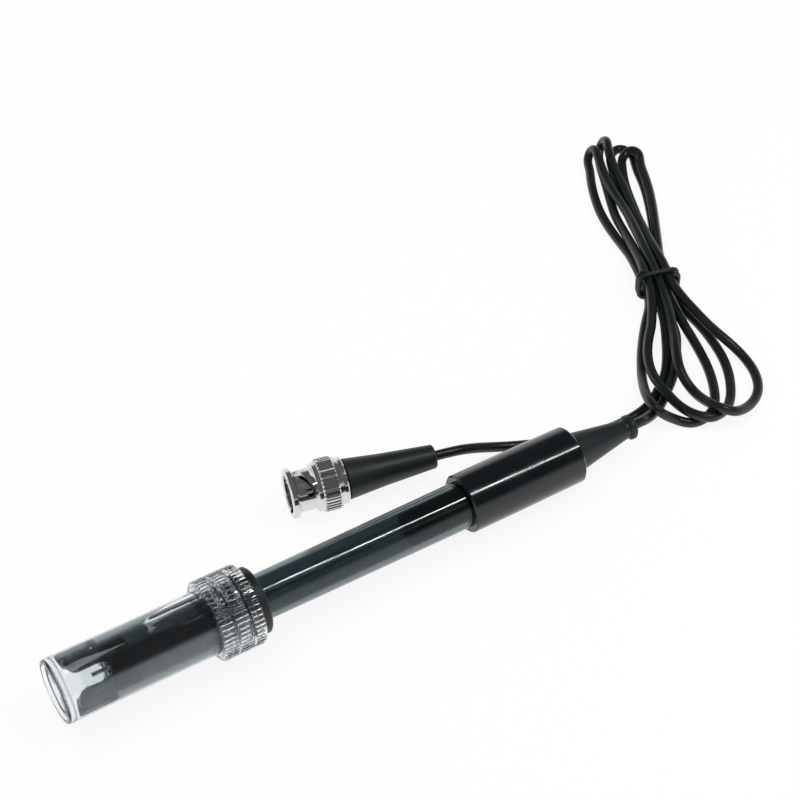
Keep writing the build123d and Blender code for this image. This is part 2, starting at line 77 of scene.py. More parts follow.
# Control points of the cable, from the cable boot through the hank to the plug's boot
CABLE_ROUTE = [
    # out of the cable boot
    (0.08519, 0.00000, 0.00734), (0.08819, 0.00000, 0.00726), (0.09129, 0.00115, 0.00553),
    (0.09564, 0.00362, 0.00303), (0.09995, 0.00603, 0.00193),
    # under the lower turns to the tie
    (0.10372, 0.00878, 0.00223), (0.10711, 0.01113, 0.00241), (0.11009, 0.01356, 0.00273),
    (0.11367, 0.01746, 0.00294), (0.11735, 0.02200, 0.00263), (0.12099, 0.02720, 0.00224),
    # through the tie
    (0.12536, 0.03986, 0.00204), (0.12899, 0.04915, 0.00208),
    # third upper loop, inner leg
    (0.13615, 0.06016, 0.00190), (0.13865, 0.06604, 0.00156), (0.14111, 0.07201, 0.00140),
    (0.14339, 0.07764, 0.00140), (0.14561, 0.08344, 0.00140), (0.14795, 0.08903, 0.00151),
    # its fold
    (0.15074, 0.09416, 0.00202), (0.15359, 0.09877, 0.00261), (0.15722, 0.09947, 0.00430),
    (0.15815, 0.09565, 0.00502), (0.15515, 0.09101, 0.00452),
    # its outer leg
    (0.15306, 0.08558, 0.00430), (0.15024, 0.07954, 0.00419), (0.14644, 0.07274, 0.00419),
    (0.14208, 0.06566, 0.00419), (0.13845, 0.05979, 0.00437), (0.13528, 0.05472, 0.00440),
    # through the tie
    (0.13049, 0.04855, 0.00435), (0.12683, 0.03921, 0.00444),
    # inner lower loop, downwards
    (0.12374, 0.02735, 0.00342), (0.12334, 0.02276, 0.00202), (0.12200, 0.01671, 0.00142),
    (0.12007, 0.01073, 0.00141), (0.11754, 0.00530, 0.00141), (0.11484, 0.00088, 0.00140),
    (0.11230, -0.00208, 0.00140),
    # round its foot and up the left side
    (0.10971, -0.00359, 0.00140), (0.10682, -0.00428, 0.00140), (0.10398, -0.00404, 0.00140),
    (0.10191, -0.00273, 0.00150), (0.10016, -0.00101, 0.00201), (0.09758, 0.00028, 0.00384),
    (0.09531, 0.00139, 0.00618), (0.09498, 0.00410, 0.00666), (0.09658, 0.00855, 0.00530),
    (0.09936, 0.01350, 0.00322), (0.10210, 0.01778, 0.00187), (0.10447, 0.02120, 0.00141),
    (0.10783, 0.02576, 0.00140), (0.11206, 0.03073, 0.00140), (0.11614, 0.03509, 0.00180),
    # through the tie
    (0.12229, 0.04092, 0.00220), (0.12596, 0.05022, 0.00220),
    # first upper loop, left leg
    (0.12940, 0.06027, 0.00180), (0.13050, 0.06609, 0.00140), (0.13126, 0.07158, 0.00140),
    (0.13238, 0.07728, 0.00140), (0.13394, 0.08291, 0.00140), (0.13653, 0.08924, 0.00140),
    (0.13967, 0.09544, 0.00140),
    # its fold
    (0.14283, 0.10050, 0.00150), (0.14461, 0.10450, 0.00151), (0.14657, 0.10598, 0.00396),
    (0.14679, 0.10354, 0.00640), (0.14502, 0.09954, 0.00639),
    # back over the hank
    (0.14343, 0.09537, 0.00559), (0.14212, 0.09088, 0.00461), (0.14045, 0.08445, 0.00447),
    (0.13884, 0.07762, 0.00475), (0.13675, 0.07116, 0.00566), (0.13401, 0.06407, 0.00673),
    (0.13166, 0.05787, 0.00715),
    # through the tie
    (0.12881, 0.04890, 0.00702), (0.12522, 0.03969, 0.00687),
    # large right-hand loop, round and up again
    (0.11816, 0.02481, 0.00641), (0.11325, 0.01742, 0.00678), (0.11036, 0.01230, 0.00618),
    (0.10958, 0.00835, 0.00459), (0.10978, 0.00416, 0.00319), (0.10956, -0.00066, 0.00420),
    (0.10962, -0.00510, 0.00601), (0.11094, -0.00803, 0.00621), (0.11407, -0.00932, 0.00461),
    (0.11959, -0.00778, 0.00220), (0.12445, -0.00541, 0.00140), (0.12774, -0.00217, 0.00140),
    (0.13000, 0.00231, 0.00140), (0.13111, 0.00700, 0.00140), (0.13094, 0.01135, 0.00219),
    (0.12969, 0.01491, 0.00379), (0.12864, 0.01884, 0.00481), (0.12809, 0.02361, 0.00547),
    # through the tie
    (0.12812, 0.03844, 0.00698), (0.13173, 0.04764, 0.00716),
    # second upper loop, upper leg
    (0.13388, 0.05603, 0.00699), (0.13632, 0.06250, 0.00595), (0.13872, 0.06901, 0.00498),
    (0.14105, 0.07536, 0.00434), (0.14306, 0.08101, 0.00417), (0.14504, 0.08657, 0.00420),
    (0.14635, 0.09118, 0.00450), (0.14741, 0.09528, 0.00580),
    # its fold
    (0.14869, 0.09915, 0.00740), (0.15157, 0.10414, 0.00741), (0.15196, 0.10720, 0.00447),
    (0.14950, 0.10533, 0.00151), (0.14662, 0.10034, 0.00150),
    # its lower leg
    (0.14423, 0.09489, 0.00140), (0.14136, 0.08881, 0.00140), (0.13861, 0.08300, 0.00141),
    (0.13613, 0.07731, 0.00162), (0.13347, 0.06981, 0.00304), (0.13068, 0.06155, 0.00466),
    (0.12776, 0.05385, 0.00607),
    # through the tie
    (0.12590, 0.05019, 0.00685), (0.12228, 0.04091, 0.00682),
    # lower left side and foot of the middle loop
    (0.11518, 0.03101, 0.00520), (0.11111, 0.02725, 0.00440), (0.10759, 0.02298, 0.00422),
    (0.10493, 0.01855, 0.00407), (0.10316, 0.01377, 0.00436), (0.10234, 0.00953, 0.00485),
    (0.10210, 0.00591, 0.00485), (0.10230, 0.00255, 0.00437), (0.10286, -0.00012, 0.00411),
    (0.10373, -0.00262, 0.00408), (0.10518, -0.00522, 0.00425), (0.10750, -0.00696, 0.00402),
    (0.11077, -0.00636, 0.00300),
    # up its right side
    (0.11437, -0.00488, 0.00199), (0.11783, -0.00218, 0.00140), (0.12096, 0.00166, 0.00140),
    (0.12395, 0.00655, 0.00141), (0.12620, 0.01202, 0.00142), (0.12768, 0.01806, 0.00142),
    (0.12861, 0.02405, 0.00140), (0.12852, 0.02816, 0.00194),
    # through the tie
    (0.12835, 0.03870, 0.00204), (0.13215, 0.04808, 0.00187),
    # fourth upper loop, right leg
    (0.13871, 0.05940, 0.00163), (0.14163, 0.06531, 0.00140), (0.14452, 0.07021, 0.00145),
    (0.14721, 0.07491, 0.00144), (0.15008, 0.08021, 0.00143), (0.15295, 0.08643, 0.00159),
    # its fold
    (0.15530, 0.09319, 0.00168), (0.15881, 0.09981, 0.00148), (0.15707, 0.10474, 0.00156),
    (0.15207, 0.10312, 0.00153), (0.14860, 0.09649, 0.00154),
    # its left leg
    (0.14525, 0.08974, 0.00163), (0.14264, 0.08340, 0.00164), (0.14034, 0.07746, 0.00180),
    (0.13789, 0.07106, 0.00234), (0.13536, 0.06446, 0.00328), (0.13310, 0.05829, 0.00421),
    # through the tie
    (0.12747, 0.04966, 0.00445), (0.12377, 0.04033, 0.00450),
    # down beside the first run
    (0.12055, 0.03271, 0.00388), (0.11878, 0.02940, 0.00312), (0.11637, 0.02543, 0.00169),
    (0.11301, 0.02068, 0.00145), (0.10987, 0.01690, 0.00142), (0.10709, 0.01428, 0.00142),
    (0.10400, 0.01217, 0.00142), (0.10088, 0.00992, 0.00144), (0.09726, 0.00808, 0.00141),
    # along the floor and up into the plug's boot
    (0.09269, 0.00699, 0.00141), (0.08590, 0.00659, 0.00141), (0.07840, 0.00749, 0.00140),
    (0.07080, 0.00960, 0.00140), (0.06380, 0.01250, 0.00140), (0.05730, 0.01530, 0.00170),
    (0.05120, 0.01720, 0.00310), (0.04540, 0.01780, 0.00560), (0.03978, 0.01833, 0.00725),
    (0.03442, 0.01958, 0.00725),
]


def place(distance, angle, radius):
    """Point on the electrode: distance along its axis, angle from the side, radius out from the axis."""
    out = ACROSS * math.cos(angle) + OVER * math.sin(angle)
    return AXIS_START + ALONG * distance + out * radius


def tie_place(side, along, height):
    """Point by the tie: side to the right of the hank, along towards its upper end, height up."""
    heading = Vector((math.cos(TIE_HEADING), math.sin(TIE_HEADING), 0.0))
    right = Vector((math.sin(TIE_HEADING), -math.cos(TIE_HEADING), 0.0))
    return TIE_CENTRE + right * side + heading * along + Vector((0.0, 0.0, height))


def smooth_step(value):
    value = min(max(value, 0.0), 1.0)
    return value * value * (3.0 - 2.0 * value)


# Shader groups


def group_nodes(name, inputs, outputs):
    tree = bpy.data.node_groups.new(name, "ShaderNodeTree")
    for label, kind, value in inputs:
        socket = tree.interface.new_socket(label, in_out="INPUT", socket_type=kind)
        if value is not None:
            socket.default_value = value
    for label, kind in outputs:
        tree.interface.new_socket(label, in_out="OUTPUT", socket_type=kind)
    return tree, tree.nodes.new("NodeGroupInput"), tree.nodes.new("NodeGroupOutput")


def moulded_skin():
    """Fine unevenness of moulded plastic, with a mask of handling marks."""
    inputs = [
        ("Place", "NodeSocketVector", None),
        ("Grain Size", "NodeSocketFloat", 900.0),
        ("Mark Size", "NodeSocketFloat", 70.0),
    ]
    outputs = [("Height", "NodeSocketFloat"), ("Marks", "NodeSocketFloat")]
    tree, given, out = group_nodes("Moulded Skin", inputs, outputs)
    grain = tree.nodes.new("ShaderNodeTexNoise")
    grain.inputs["Detail"].default_value = 3.0
    marks = tree.nodes.new("ShaderNodeTexNoise")
    marks.inputs["Detail"].default_value = 5.0
    marks.inputs["Roughness"].default_value = 0.62
    spread = tree.nodes.new("ShaderNodeMapRange")
    spread.inputs["From Min"].default_value = 0.38
    spread.inputs["From Max"].default_value = 0.68
    link = tree.links.new
    link(given.outputs["Place"], grain.inputs["Vector"])
    link(given.outputs["Grain Size"], grain.inputs["Scale"])
    link(given.outputs["Place"], marks.inputs["Vector"])
    link(given.outputs["Mark Size"], marks.inputs["Scale"])
    link(marks.outputs["Fac"], spread.inputs["Value"])
    link(grain.outputs["Fac"], out.inputs["Height"])
    link(spread.outputs["Result"], out.inputs["Marks"])
    return tree


def hairlines():
    """Thin scratches that run along one direction."""
    inputs = [
        ("Place", "NodeSocketVector", None),
        ("Stretch", "NodeSocketVector", (40.0, 1400.0, 1400.0)),
    ]
    tree, given, out = group_nodes("Hairlines", inputs, [("Lines", "NodeSocketFloat")])
    stretch = tree.nodes.new("ShaderNodeVectorMath")
    stretch.operation = "MULTIPLY"
    noise = tree.nodes.new("ShaderNodeTexNoise")
    noise.inputs["Scale"].default_value = 1.0
    noise.inputs["Detail"].default_value = 2.0
    cut = tree.nodes.new("ShaderNodeMapRange")
    cut.inputs["From Min"].default_value = 0.60
    cut.inputs["From Max"].default_value = 0.74
    link = tree.links.new
    link(given.outputs["Place"], stretch.inputs[0])
    link(given.outputs["Stretch"], stretch.inputs[1])
    link(stretch.outputs["Vector"], noise.inputs["Vector"])
    link(noise.outputs["Fac"], cut.inputs["Value"])
    link(cut.outputs["Result"], out.inputs["Lines"])
    return tree


# Materials


def shader(name, colour, roughness, **settings):
    """New material with a Principled shader, its constant values set on the shader's own sockets."""
    material = bpy.data.materials.new(name)
    material.use_nodes = True
    principled = material.node_tree.nodes["Principled BSDF"]
    principled.inputs["Base Color"].default_value = (*colour, 1.0)
    principled.inputs["Roughness"].default_value = roughness
    for label, value in settings.items():
        principled.inputs[label.replace("_", " ")].default_value = value
    return material


def effect(material, tree):
    nodes = material.node_tree.nodes
    node = nodes.new("ShaderNodeGroup")
    node.node_tree = tree
    coordinates = nodes.new("ShaderNodeTexCoord")
    material.node_tree.links.new(coordinates.outputs["Object"], node.inputs["Place"])
    return node


def shader_socket(material, label):
    return material.node_tree.nodes["Principled BSDF"].inputs[label]


def mixed_colour(material, mask, base, other):
    """Base Color that goes from one colour to another by a mask."""
    mix = material.node_tree.nodes.new("ShaderNodeMix")
    mix.data_type = "RGBA"
    mix.inputs["A"].default_value = (*base, 1.0)
    mix.inputs["B"].default_value = (*other, 1.0)
    material.node_tree.links.new(mask, mix.inputs["Factor"])
    material.node_tree.links.new(mix.outputs["Result"], shader_socket(material, "Base Color"))


def mapped(material, mask, low, high, socket):
    """One of the shader's values, varied between low and high by a mask."""
    ramp = material.node_tree.nodes.new("ShaderNodeMapRange")
    ramp.inputs["To Min"].default_value = low
    ramp.inputs["To Max"].default_value = high
    material.node_tree.links.new(mask, ramp.inputs["Value"])
    material.node_tree.links.new(ramp.outputs["Result"], shader_socket(material, socket))


def bumped(material, height, distance, strength=0.5):
    bump = material.node_tree.nodes.new("ShaderNodeBump")
    bump.inputs["Distance"].default_value = distance
    bump.inputs["Strength"].default_value = strength
    material.node_tree.links.new(height, bump.inputs["Height"])
    material.node_tree.links.new(bump.outputs["Normal"], shader_socket(material, "Normal"))


def moulded(trees, name, colour, worn, roughness, grain, depth, **settings):
    """Moulded plastic or rubber: grain, handling marks in the roughness and a paler tone where worn."""
    material = shader(name, colour, roughness[0], **settings)
    skin = effect(material, trees["skin"])
    skin.inputs["Grain Size"].default_value = grain
    mapped(material, skin.outputs["Marks"], *roughness, "Roughness")
    mixed_colour(material, skin.outputs["Marks"], colour, worn)
    bumped(material, skin.outputs["Height"], depth)


def clear(trees, name, colour, roughness, ior):
    """Clear plastic, glass or liquid with faint marks."""
    material = shader(name, colour, roughness, IOR=ior, Transmission_Weight=1.0)
    skin = effect(material, trees["skin"])
    skin.inputs["Mark Size"].default_value = 160.0
    mapped(material, skin.outputs["Marks"], roughness, roughness + 0.04, "Roughness")


def metal(trees, name, colour, dull, roughness, stretch):
    """Plated or drawn metal with fine lines along one direction."""
    material = shader(name, colour, roughness, Metallic=1.0)
    lines = effect(material, trees["lines"])
    lines.inputs["Stretch"].default_value = stretch
    mapped(material, lines.outputs["Lines"], roughness, roughness + 0.16, "Roughness")
    mixed_colour(material, lines.outputs["Lines"], colour, dull)
    bumped(material, lines.outputs["Lines"], 0.00002, 0.35)


def toned(colour, share):
    return tuple(share * part for part in colour)


def make_finishes():
    sizes = bpy.context.scene.electrode_finish
    trees = {"skin": moulded_skin(), "lines": hairlines()}
    smoke = tuple(sizes.tube_colour)
    jacket = tuple(sizes.cable_colour)
    cap = tuple(sizes.cap_colour)
    nickel = tuple(sizes.plating_colour)
    clear(trees, "Clear bottle plastic", (0.955, 0.975, 0.99), 0.0, 1.46)
    clear(trees, "Clear collar plastic", (0.93, 0.955, 0.975), 0.03, 1.46)
    clear(trees, "Storage solution", (0.96, 0.98, 0.99), 0.0, 1.333)
    clear(trees, "Air bubble", (0.99, 0.995, 1.0), 0.0, 1.33)
    clear(trees, "Membrane glass", (0.97, 0.985, 0.99), 0.0, 1.47)
    moulded(trees, "Seal rubber", (0.005, 0.007, 0.009), (0.010, 0.012, 0.014), (0.42, 0.55),
            1400.0, 0.00003)
    moulded(trees, "Smoked tube plastic", smoke, toned(smoke, 0.94), (0.06, 0.11), 300.0, 0.000004,
            Transmission_Weight=1.0, IOR=1.5)
    moulded(trees, "Tip plug plastic", (0.018, 0.024, 0.042), (0.026, 0.034, 0.055), (0.38, 0.45),
            900.0, 0.00002)
    moulded(trees, "Porous junction", (0.72, 0.71, 0.66), (0.60, 0.59, 0.55), (0.8, 0.9), 2600.0, 0.00006)
    moulded(trees, "Head cap plastic", cap, toned(cap, 1.6), (0.12, 0.20), 260.0, 0.000008,
            Coat_Weight=0.2, Coat_Roughness=0.06)
    moulded(trees, "Boot rubber", (0.005, 0.0085, 0.0095), (0.010, 0.014, 0.016), (0.40, 0.52),
            700.0, 0.00003)
    moulded(trees, "Cable jacket", jacket, toned(jacket, 1.8), (0.30, 0.42), 500.0, 0.00003)
    moulded(trees, "Core insulation", (0.70, 0.69, 0.63), (0.62, 0.60, 0.54), (0.5, 0.6), 800.0, 0.00002)
    moulded(trees, "Tie plastic", (0.005, 0.007, 0.008), (0.011, 0.013, 0.014), (0.34, 0.48),
            900.0, 0.00003)
    moulded(trees, "Insulator plastic", (0.74, 0.73, 0.68), (0.66, 0.65, 0.60), (0.4, 0.5), 700.0, 0.00002)
    moulded(trees, "Gasket rubber", (0.012, 0.012, 0.012), (0.02, 0.02, 0.02), (0.6, 0.7), 1200.0, 0.00003)
    metal(trees, "Silver wire", (0.72, 0.71, 0.69), (0.38, 0.36, 0.35), 0.28, (60.0, 1600.0, 1600.0))
    metal(trees, "Nickel plate", nickel, toned(nickel, 0.7), 0.10, (900.0, 120.0, 900.0))
    metal(trees, "Gold contact", (0.86, 0.62, 0.24), (0.68, 0.46, 0.16), 0.18, (70.0, 1500.0, 1500.0))
    metal(trees, "Spring steel", (0.52, 0.52, 0.51), (0.36, 0.36, 0.35), 0.26, (800.0, 200.0, 800.0))


FINISH_NAMES = {
    "storage_bottle": "Clear bottle plastic",
    "storage_collar": "Clear collar plastic",
    "storage_seal": "Seal rubber",
    "body_tube": "Smoked tube plastic",
    "tip_plug": "Tip plug plastic",
    "glass_electrode": "Membrane glass",
    "reference_junction": "Porous junction",
    "measuring_wire": "Silver wire",
    "reference_wire": "Silver wire",
    "upper_stopper": "Tip plug plastic",
    "head_cap": "Head cap plastic",
    "cable_boot": "Boot rubber",
    "cable_inner_end": "Cable jacket",
    "core_wire": "Core insulation",
    "coupling_sleeve": "Nickel plate",
    "plug_body": "Nickel plate",
    "plug_insulator": "Insulator plastic",
    "centre_pin": "Gold contact",
    "plug_gasket": "Gasket rubber",
    "spring_washer": "Spring steel",
    "thrust_washer": "Spring steel",
    "retaining_ring": "Spring steel",
    "crimp_ferrule": "Nickel plate",
    "plug_boot": "Boot rubber",
    "cable_plug_end": "Cable jacket",
    "cable_lead": "Cable jacket",
    "cable_tail": "Cable jacket",
    "cable_hank": "Cable jacket",
    "hank_tie": "Tie plastic",
}


# Geometry node trees


def growing_tree(name, inputs):
    """Geometry node tree with named inputs and one geometry output."""
    tree = bpy.data.node_groups.new(name, "GeometryNodeTree")
    for label, kind in inputs:
        tree.interface.new_socket(label, in_out="INPUT", socket_type=kind)
    tree.interface.new_socket("Geometry", in_out="OUTPUT", socket_type="NodeSocketGeometry")
    return tree, tree.nodes.new("NodeGroupInput"), tree.nodes.new("NodeGroupOutput")


def finish_tree(tree, geometry, given, out):
    """Ends a tree in Realize Instances and Set Material."""
    realize = tree.nodes.new("GeometryNodeRealizeInstances")
    paint = tree.nodes.new("GeometryNodeSetMaterial")
    tree.links.new(geometry, realize.inputs[0])
    tree.links.new(realize.outputs[0], paint.inputs["Geometry"])
    tree.links.new(given.outputs["Finish"], paint.inputs["Material"])
    tree.links.new(paint.outputs["Geometry"], out.inputs[0])


def helix_tree():
    """Round ridge wound about an axis."""
    inputs = [
        ("Turns", "NodeSocketFloat"),
        ("Radius", "NodeSocketFloat"),
        ("Length", "NodeSocketFloat"),
        ("Ridge Radius", "NodeSocketFloat"),
        ("Place", "NodeSocketVector"),
        ("Rotation", "NodeSocketRotation"),
        ("Finish", "NodeSocketMaterial"),
    ]
    tree, given, out = growing_tree("Helix", inputs)
    nodes, link = tree.nodes, tree.links.new
    spiral = nodes.new("GeometryNodeCurveSpiral")
    spiral.inputs["Resolution"].default_value = 48
    ring = nodes.new("GeometryNodeCurvePrimitiveCircle")
    ring.inputs["Resolution"].default_value = 14
    sweep = nodes.new("GeometryNodeCurveToMesh")
    sweep.inputs["Fill Caps"].default_value = True
    lay = nodes.new("GeometryNodeTransform")
    link(given.outputs["Turns"], spiral.inputs["Rotations"])
    link(given.outputs["Radius"], spiral.inputs["Start Radius"])
    link(given.outputs["Radius"], spiral.inputs["End Radius"])
    link(given.outputs["Length"], spiral.inputs["Height"])
    link(given.outputs["Ridge Radius"], ring.inputs["Radius"])
    link(spiral.outputs["Curve"], sweep.inputs["Curve"])
    link(ring.outputs["Curve"], sweep.inputs["Profile Curve"])
    link(sweep.outputs["Mesh"], lay.inputs["Geometry"])
    link(given.outputs["Place"], lay.inputs["Translation"])
    link(given.outputs["Rotation"], lay.inputs["Rotation"])
    finish_tree(tree, lay.outputs["Geometry"], given, out)
    return tree


def bubble_tree():
    """Small bubbles strewn along a line, in sizes between two limits."""
    inputs = [
        ("Count", "NodeSocketInt"),
        ("Start", "NodeSocketVector"),
        ("Step", "NodeSocketVector"),
        ("Spread", "NodeSocketVector"),
        ("Smallest", "NodeSocketFloat"),
        ("Largest", "NodeSocketFloat"),
        ("Seed", "NodeSocketInt"),
        ("Finish", "NodeSocketMaterial"),
    ]
    tree, given, out = growing_tree("Bubbles", inputs)
    nodes, link = tree.nodes, tree.links.new
    line = nodes.new("GeometryNodeMeshLine")
    back = nodes.new("ShaderNodeVectorMath")
    back.operation = "SCALE"
    back.inputs["Scale"].default_value = -1.0
    wander = nodes.new("FunctionNodeRandomValue")
    wander.data_type = "FLOAT_VECTOR"
    move = nodes.new("GeometryNodeSetPosition")
    ball = nodes.new("GeometryNodeMeshIcoSphere")
    ball.inputs["Radius"].default_value = 1.0
    ball.inputs["Subdivisions"].default_value = 3
    sizes = nodes.new("FunctionNodeRandomValue")
    sizes.data_type = "FLOAT"
    copies = nodes.new("GeometryNodeInstanceOnPoints")
    link(given.outputs["Count"], line.inputs["Count"])
    link(given.outputs["Start"], line.inputs["Start Location"])
    link(given.outputs["Step"], line.inputs["Offset"])
    link(given.outputs["Spread"], back.inputs[0])
    link(back.outputs["Vector"], wander.inputs[0])
    link(given.outputs["Spread"], wander.inputs[1])
    link(given.outputs["Seed"], wander.inputs["Seed"])
    link(line.outputs["Mesh"], move.inputs["Geometry"])
    link(wander.outputs[0], move.inputs["Offset"])
    link(given.outputs["Smallest"], sizes.inputs[2])
    link(given.outputs["Largest"], sizes.inputs[3])
    link(given.outputs["Seed"], sizes.inputs["Seed"])
    link(move.outputs["Geometry"], copies.inputs["Points"])
    link(ball.outputs["Mesh"], copies.inputs["Instance"])
    link(sizes.outputs[1], copies.inputs["Scale"])
    finish_tree(tree, copies.outputs["Instances"], given, out)
    return tree


def grown(tree, name, values, finish_name):
    """Plain mesh from a geometry node tree with these values."""
    source = bpy.data.objects.new(name, bpy.data.meshes.new(name))
    bpy.context.scene.collection.objects.link(source)
    modifier = source.modifiers.new("Shape", "NODES")
    modifier.node_group = tree
    values = {**values, "Finish": finish(finish_name)}
    for item in tree.interface.items_tree:
        if item.in_out == "INPUT":
            modifier[item.identifier] = values[item.name]
    bpy.context.view_layer.update()
    evaluated = source.evaluated_get(bpy.context.evaluated_depsgraph_get())
    mesh = bpy.data.meshes.new_from_object(evaluated)
    bpy.data.objects.remove(source)
    return mesh


# Pieces


def finish(name):
    return bpy.data.materials[name]


def new_piece(name, mesh, finish_name, body):
    piece = bpy.data.objects.new(name, mesh)
    bpy.context.scene.collection.objects.link(piece)
    mesh.materials.clear()
    mesh.materials.append(finish(finish_name))
    for face in mesh.polygons:
        face.use_smooth = True
    mesh.set_sharp_from_angle(angle=math.radians(38))
    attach(piece, body)
    return piece


def revolved(name, rows, count):
    """Closed mesh turned about the electrode's axis; a row's radius may depend on the angle."""
    bm = bmesh.new()
    rings = []
    for distance, radius in rows:
        if radius == 0.0:
            rings.append([bm.verts.new(place(distance, 0.0, 0.0))])
            continue
        ring = []
        for k in range(count):
            angle = 2 * math.pi * k / count
            reach = radius(angle) if callable(radius) else radius
            ring.append(bm.verts.new(place(distance, angle, reach)))
        rings.append(ring)
    for low, high in zip(rings, rings[1:]):
        for k in range(count):
            near = (low[k % len(low)], high[k % len(high)])
            far = (high[(k + 1) % len(high)], low[(k + 1) % len(low)])
            bm.faces.new(list(dict.fromkeys(near + far)))
    bmesh.ops.recalc_face_normals(bm, faces=bm.faces)
    mesh = bpy.data.meshes.new(name)
    bm.to_mesh(mesh)
    bm.free()
    return mesh


def threaded(distance, depth):
    """Radius of the bottle's mouth round one row of its screw thread."""
    run_in = 0.001
    half_foot, steepness = 0.25, 1.9

    def radius(angle):
        phase = ((distance - THREAD_START) / THREAD_PITCH - angle / (2 * math.pi)) % 1.0
        ridge = smooth_step(steepness * (1.0 - abs(phase - 0.5) / half_foot))
        fade = min((distance - THREAD_START) / run_in, (THREAD_END - distance) / run_in, 1.0)
        return BOTTLE_RADIUS + depth * ridge * max(fade, 0.0)

    return radius


def inner_corner(end, bore, size, steps=4):
    """Rows of the rounded corner at a closed end, from the side wall to the end."""
    rows = []
    for k in range(steps + 1):
        angle = math.radians(90.0 + 90.0 * k / steps)
        rows.append((end + size + size * math.cos(angle), bore - size + size * math.sin(angle)))
    return rows


def make_bottle():
    """Clear bottle with a foot ring, rounded edges and a screw thread at its mouth."""
    sizes = bpy.context.scene.electrode_bottle
    edge = sizes.edge_round
    outer, bore, mouth, foot = BOTTLE_RADIUS, BOTTLE_BORE, BOTTLE_LENGTH, BOTTLE_FOOT
    ring = outer - BOTTLE_FOOT_WIDTH
    waist = 0.02
    rows = [
        (foot, 0.0),
        (foot, ring - edge),
        (foot - 0.3 * edge, ring - 0.3 * edge),
        (foot - edge, ring),
        (edge, ring),
        (0.3 * edge, ring + 0.3 * edge),
        (0.0, ring + edge),
        (0.0, outer - 2 * edge),
        (0.25 * edge, outer - edge),
        (edge, outer - 0.25 * edge),
        (2 * edge, outer),
        (waist, outer),
        (THREAD_START - 0.0002, outer),
    ]
    steps = 76
    for k in range(steps + 1):
        distance = THREAD_START + (THREAD_END - THREAD_START) * k / steps
        rows.append((distance, threaded(distance, sizes.thread_depth)))
    rows += [
        (mouth - edge, outer),
        (mouth, outer - edge),
        (mouth, bore + edge),
        (mouth - edge, bore),
        (waist, bore),
        *inner_corner(BOTTLE_FLOOR, bore, sizes.floor_round),
        (BOTTLE_FLOOR, 0.0),
    ]
    mesh = revolved("Bottle", rows, 144)
    bottle = new_piece("Bottle", mesh, "Clear bottle plastic", "bottle")
    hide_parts("storage_bottle")


def pocket_share(distance, angle):
    """How far the air pocket over the tube takes the place of the solution, from 0 to 1."""
    sizes = bpy.context.scene.electrode_bottle
    widening_length = 0.009
    opening = math.sqrt(min(max((distance - sizes.pocket_start) / widening_length, 0.0), 1.0))
    middle = math.radians(78.0)
    far_edge = middle - math.radians(27.0) * opening
    near_edge = middle + math.radians(34.0) * opening
    soft = math.radians(8.0)
    return smooth_step((angle - far_edge) / soft) * smooth_step((near_edge - angle) / soft)


def make_solution():
    """Storage solution that fills the bottle round the guard, with an air pocket over the tube."""
    sizes = bpy.context.scene.electrode_bottle
    wet = BOTTLE_BORE + WET_OVERLAP
    low_end = BOTTLE_FLOOR - WET_OVERLAP
    high_end = BOTTLE_LENGTH - 0.0002
    rows = [(low_end, 0.0)]
    rows += reversed(inner_corner(low_end, wet, sizes.floor_round))
    start = low_end + sizes.floor_round
    steps = 90
    for k in range(1, steps + 1):
        distance = start + (high_end - start) * k / steps

        def radius(angle, distance=distance):
            return wet - sizes.pocket_depth * pocket_share(distance, angle)

        rows.append((distance, radius))
    rows.append((high_end, 0.0))
    mesh = revolved("Storage_solution", rows, 240)
    new_piece("Storage_solution", mesh, "Storage solution", "bottle")


def make_bubbles():
    """A row of small bubbles and one large one under the bottle's wall."""
    sizes = bpy.context.scene.electrode_bottle
    tree = bubble_tree()
    start = place(0.0085, math.radians(75.0), 0.0070)
    end = place(0.024, math.radians(75.0), 0.0070)
    large_radius = 0.00055
    values = {
        "Count": sizes.bubble_count,
        "Start": start,
        "Step": (end - start) / max(sizes.bubble_count - 1, 1),
        "Spread": Vector((0.0008, 0.0026, 0.0001)),
        "Smallest": 0.00006,
        "Largest": 0.00018,
        "Seed": 4,
    }
    small = grown(tree, "Small_bubbles", values, "Air bubble")
    new_piece("Small_bubbles", small, "Air bubble", "bottle")
    values = {
        "Count": 1,
        "Start": place(0.0114, math.radians(70.0), 0.0069),
        "Step": Vector(),
        "Spread": Vector(),
        "Smallest": large_radius,
        "Largest": large_radius,
        "Seed": 1,
    }
    large = grown(tree, "Large_bubble", values, "Air bubble")
    new_piece("Large_bubble", large, "Air bubble", "bottle")


def make_collar_thread():
    """Screw thread inside the collar."""
    length = THREAD_END - THREAD_START
    values = {
        "Turns": length / THREAD_PITCH,
        "Radius": COLLAR_BORE,
        "Length": length,
        "Ridge Radius": bpy.context.scene.electrode_bottle.collar_thread,
        "Place": place(THREAD_START, 0.0, 0.0),
        "Rotation": Matrix((ACROSS, OVER, ALONG)).transposed().to_euler(),
    }
    mesh = grown(helix_tree(), "Collar_thread", values, "Clear collar plastic")
    new_piece("Collar_thread", mesh, "Clear collar plastic", "collar")


